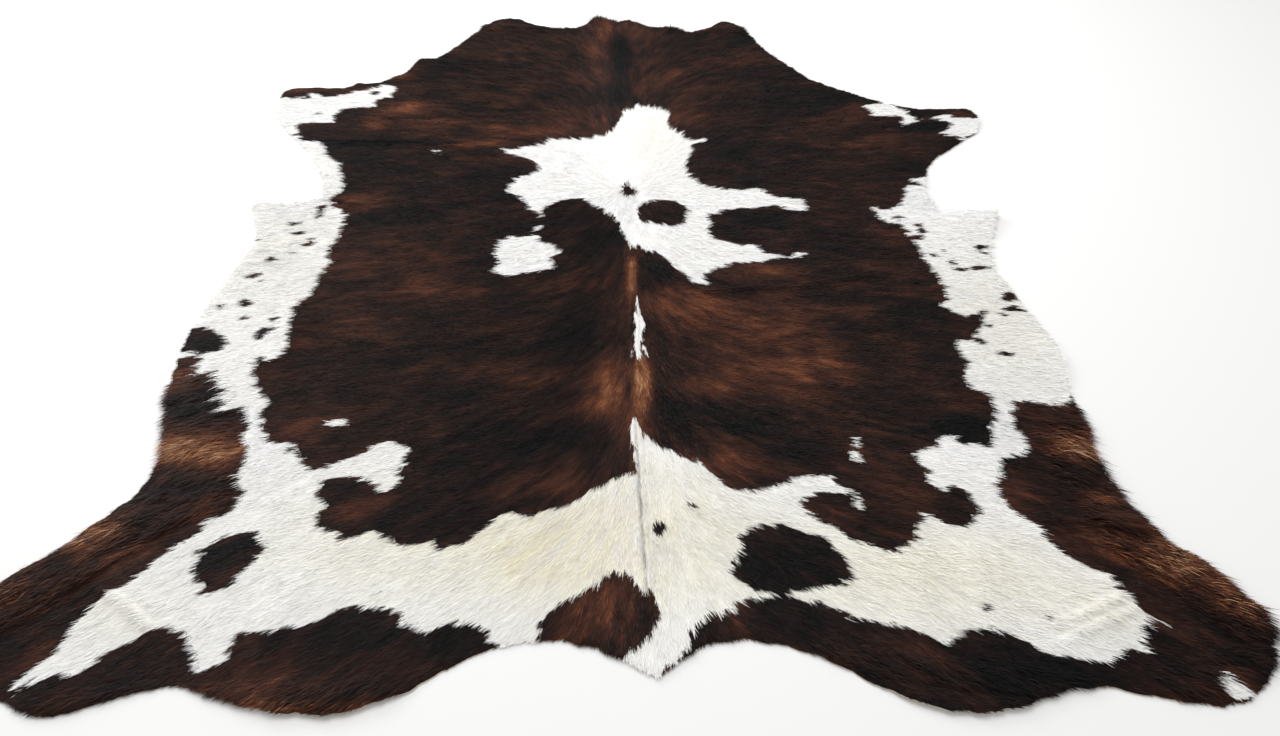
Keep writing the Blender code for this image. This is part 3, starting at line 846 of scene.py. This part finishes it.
def blades(name, roots, normals, lengths, width, tilt, curl, depth, material):
    """One piece made of flat tapering hairs. curl is how far a hair bends back to the skin, and 0 leaves it
    a single triangle."""
    count = len(roots)
    places = roots[:, :2] - HIDE_ZERO
    turn = TUFT_TURN * TUFTS.at(places) + OWN_TURN * RANDOM.standard_normal(count)
    flow = FLOW.at(places)
    across = np.stack([-flow[:, 1], flow[:, 0]], axis=-1)
    plan = flow * np.cos(turn)[:, None] + across * np.sin(turn)[:, None]
    forward = np.column_stack([plan, np.zeros(count)])
    forward -= normals * (forward * normals).sum(axis=1, keepdims=True)
    forward /= np.linalg.norm(forward, axis=1, keepdims=True)
    side = np.cross(normals, forward)
    roll = OWN_ROLL * RANDOM.standard_normal(count)[:, None]
    side = side * np.cos(roll) + normals * np.sin(roll)
    lengths = lengths * (1 + LENGTH_SPREAD * RANDOM.standard_normal(count)).clip(0.4, 1.6)
    lengths = lengths * (TRIMMED + (1 - TRIMMED) * np.clip(depth.at(places) / TRIM_DEPTH, 0, 1))
    rise = tilt * (1 + 0.35 * RANDOM.standard_normal(count) + 0.22 * TUFTS.at(places)).clip(0.25, 2.2)
    half = 0.5 * width * (1 + WIDTH_SPREAD * RANDOM.standard_normal(count)).clip(0.4, 1.8)[:, None]
    reach = lengths[:, None]
    base = roots - ROOTED * normals
    tip = base + reach * (forward * np.cos(rise)[:, None] + normals * np.sin(rise)[:, None])
    # Each hair is drawn darker at its root and lighter at its tip: partly a hair's own darker root, partly
    # painted shade among the hairs and painted light on the tips.
    if curl:
        middle = base + 0.5 * reach * (forward + normals * np.sin(rise * 1.3)[:, None])
        tip = tip - curl * reach * normals * np.sin(rise)[:, None]
        points = np.stack([base - half * side, base + half * side, middle - 0.8 * half * side,
                           middle + 0.8 * half * side, tip], axis=1)
        pattern = np.array([(0, 1, 3), (0, 3, 2), (2, 3, 4)])
        shade = np.array((0.72, 0.72, 1.0, 1.0, 1.1))
    else:
        points = np.stack([base - half * side, base + half * side, tip], axis=1)
        pattern = np.array([(0, 1, 2)])
        shade = np.array((0.78, 0.78, 1.12))
    points[..., 2] = np.clip(points[..., 2], HAIR_LOWEST, roots[:, 2:] + HAIR_STANDS)
    each = points.shape[1]
    faces = (np.arange(count)[:, None, None] * each + pattern).reshape(-1, 3)
    flat = points.reshape(-1, 3)
    piece = mesh_object(name, flat, faces, materials=[material])
    colours = coat_colours(places, RANDOM.standard_normal(count).clip(-2, 2))
    shaded = (colours[:, None, :] * shade[:, None]).reshape(-1, 3).clip(0, 0.95)
    set_colours(piece.data, "coat_colour", shaded)
    low, high = flat[:, :2].min(0), flat[:, :2].max(0)
    layer = piece.data.uv_layers.new(name="OFBake")
    corners = ((flat[:, :2] - low) / (high - low))[faces.ravel()].astype(np.float32)
    layer.data.foreach_set("uv", corners.ravel())
    return piece


def build_short_coat(points, faces, depth, material):
    """The lying coat, in four pieces from the neck to the rump."""
    roots, normals = rooted(points, faces, 4 * SHORT_BLADES)
    order = np.argsort(-roots[:, 1])
    pieces = []
    for i, part in enumerate(("neck", "shoulder", "rib", "rump")):
        mine = order[i * SHORT_BLADES:(i + 1) * SHORT_BLADES]
        pieces.append(blades(part + "_coat", roots[mine], normals[mine], np.full(SHORT_BLADES, SHORT_LENGTH),
                             SHORT_WIDTH, SHORT_TILT, 0.0, depth, material))
    return pieces


def build_long_coat(points, faces, depth, material):
    """The longer, looser hair on the flanks, shanks and edges."""
    pool, normals = rooted(points, faces, LONG_ROOTS)
    places = pool[:, :2] - HIDE_ZERO
    taken, lengths = [], []
    for _, start, end, half_width, length, count in LONG_HAIR:
        off = from_line(places, start, end)[0] / half_width
        near = np.nonzero(off + 0.35 * RANDOM.random(len(off)) < 1)[0]
        mine = near[:count]
        taken.append(mine)
        lengths.append(length * (1.1 - 0.5 * off[mine]))
    taken, lengths = np.concatenate(taken), np.concatenate(lengths)
    return blades("long_hair", pool[taken], normals[taken], lengths, LONG_WIDTH, LONG_TILT, LONG_CURL, depth,
                  material)


# Materials


def new_material(name):
    material = bpy.data.materials.new(name)
    material.use_nodes = True
    return material, material.node_tree.nodes, material.node_tree.links


def noise(nodes, links, scale, detail):
    """Noise that stays with the hide, scale lumps to the metre."""
    place = nodes.new("ShaderNodeTexCoord")
    texture = nodes.new("ShaderNodeTexNoise")
    texture.inputs["Scale"].default_value = scale
    texture.inputs["Detail"].default_value = detail
    links.new(place.outputs["Object"], texture.inputs["Vector"])
    return texture


def between(nodes, links, source, low, high):
    """The source's noise, mapped to values from low to high."""
    mapped = nodes.new("ShaderNodeMapRange")
    mapped.inputs["To Min"].default_value = low
    mapped.inputs["To Max"].default_value = high
    links.new(source.outputs["Fac"], mapped.inputs["Value"])
    return mapped.outputs["Result"]


def add_relief(nodes, links, source, strength, distance):
    relief = nodes.new("ShaderNodeBump")
    relief.inputs["Strength"].default_value = strength
    relief.inputs["Distance"].default_value = distance
    links.new(source.outputs["Fac"], relief.inputs["Height"])
    links.new(relief.outputs["Normal"], nodes["Principled BSDF"].inputs["Normal"])


def coat_material():
    """Hair: each hair's colour, with painted shade at its root and in grooves and painted light at its tip,
    and a soft, uneven gloss.
    """
    material, nodes, links = new_material("coat")
    shader = nodes["Principled BSDF"]
    shader.inputs["Specular IOR Level"].default_value = 0.09
    colour = nodes.new("ShaderNodeAttribute")
    colour.attribute_name = "coat_colour"
    grain = noise(nodes, links, 90.0, 3.0)
    links.new(between(nodes, links, grain, 0.42, 0.66), shader.inputs["Roughness"])
    links.new(colour.outputs["Color"], shader.inputs["Base Color"])
    return material


def root_material():
    """The skin's coat side, seen between the hairs: dark and white meet in a ragged line."""
    material, nodes, links = new_material("coat_roots")
    shader = nodes["Principled BSDF"]
    shader.inputs["Specular IOR Level"].default_value = 0.05
    shader.inputs["Roughness"].default_value = 0.8
    depth, dark, white = (nodes.new("ShaderNodeAttribute") for _ in range(3))
    depth.attribute_name = "pattern_depth"
    dark.attribute_name = "dark_roots"
    white.attribute_name = "white_roots"
    ragged = noise(nodes, links, 260.0, 2.0)
    shifted = nodes.new("ShaderNodeMath")
    shifted.operation = "MULTIPLY_ADD"
    shifted.inputs[1].default_value = 0.008
    links.new(ragged.outputs["Fac"], shifted.inputs[0])
    links.new(depth.outputs["Fac"], shifted.inputs[2])
    step = nodes.new("ShaderNodeMapRange")
    step.inputs["From Min"].default_value = 0.003
    step.inputs["From Max"].default_value = 0.005
    links.new(shifted.outputs["Value"], step.inputs["Value"])
    mix = nodes.new("ShaderNodeMix")
    mix.data_type = "RGBA"
    links.new(step.outputs["Result"], mix.inputs["Factor"])
    links.new(white.outputs["Color"], mix.inputs["A"])
    links.new(dark.outputs["Color"], mix.inputs["B"])
    links.new(mix.outputs["Result"], shader.inputs["Base Color"])
    add_relief(nodes, links, ragged, 0.3, 0.0008)
    return material


def leather_material(name, rgb, fibre_scale, bump):
    """Suede or cut skin: mottled, dull and slightly fibrous."""
    material, nodes, links = new_material(name)
    shader = nodes["Principled BSDF"]
    shader.inputs["Specular IOR Level"].default_value = 0.2
    shader.inputs["Sheen Weight"].default_value = 0.25
    fibres = noise(nodes, links, fibre_scale, 8.0)
    fibres.inputs["Roughness"].default_value = 0.7
    mottle = noise(nodes, links, 9.0, 4.0)
    both = nodes.new("ShaderNodeMath")
    both.operation = "MULTIPLY"
    links.new(fibres.outputs["Fac"], both.inputs[0])
    links.new(mottle.outputs["Fac"], both.inputs[1])
    ramp = nodes.new("ShaderNodeValToRGB")
    ramp.color_ramp.elements[0].position = 0.12
    ramp.color_ramp.elements[0].color = (*linear(rgb) * 0.66, 1)
    ramp.color_ramp.elements[1].position = 0.42
    ramp.color_ramp.elements[1].color = (*linear(rgb) * 1.08, 1)
    links.new(both.outputs["Value"], ramp.inputs["Fac"])
    links.new(ramp.outputs["Color"], shader.inputs["Base Color"])
    links.new(between(nodes, links, fibres, 0.78, 0.98), shader.inputs["Roughness"])
    add_relief(nodes, links, fibres, 0.5, bump)
    return material


def floor_material():
    material, nodes, _ = new_material("floor")
    shader = nodes["Principled BSDF"]
    shader.inputs["Base Color"].default_value = (*linear(FLOOR), 1)
    shader.inputs["Roughness"].default_value = 0.9
    shader.inputs["Specular IOR Level"].default_value = 0.1
    return material


# The stage


def build_floor():
    floor = mesh_object("floor", [(-9, -9, 0), (9, -9, 0), (9, 9, 0), (-9, 9, 0)], [(0, 1, 2), (0, 2, 3)],
                        materials=[floor_material()])
    floor.location.z = -0.0005
    return floor


def add_light(name, place, aim, size, watts):
    lamp = bpy.data.lights.new(name, "AREA")
    lamp.shape = "DISK"
    lamp.size = size
    lamp.energy = watts
    obj = bpy.data.objects.new(name, lamp)
    obj.location = place
    obj.rotation_euler = (Vector(aim) - Vector(place)).to_track_quat("-Z", "Y").to_euler()
    bpy.context.scene.collection.objects.link(obj)


def light_studio():
    add_light("ceiling", (-0.3, 1.2, 3.4), (0, 0, 0), 3.0, 95)
    add_light("window", (-2.8, 2.9, 1.7), (0, 0, 0), 1.6, 95)
    world = bpy.data.worlds.new("studio")
    world.use_nodes = True
    world.node_tree.nodes["Background"].inputs["Color"].default_value = (1.0, 0.995, 0.985, 1)
    world.node_tree.nodes["Background"].inputs["Strength"].default_value = 0.72
    bpy.context.scene.world = world
    bpy.context.scene.view_settings.view_transform = "Standard"


def place_camera():
    """A phone held at chest height, at the foot of the hide."""
    camera = bpy.data.cameras.new("camera")
    camera.lens = 28
    camera.sensor_width = 36
    camera.clip_start = 0.05
    obj = bpy.data.objects.new("camera", camera)
    obj.location = (-0.022 + HIDE_ZERO[0], -1.815 + HIDE_ZERO[1], 1.5)
    obj.rotation_euler = (math.radians(44), 0, math.radians(-1.859))
    bpy.context.scene.collection.objects.link(obj)
    bpy.context.scene.camera = obj


def main():
    coat = coat_material()
    materials = [root_material(), leather_material("suede", SUEDE, 240.0, 0.0006),
                 leather_material("cut_skin", CUT_SKIN, 500.0, 0.0003)]
    skin, points, faces, depth = build_skin(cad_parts["hide"], materials)
    hair = build_short_coat(points, faces, depth, coat)
    hair.append(build_long_coat(points, faces, depth, coat))
    floor = build_floor()
    for piece in (skin, *hair):
        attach(piece, "root")
        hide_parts("hide")
    light_studio()
    place_camera()


main()
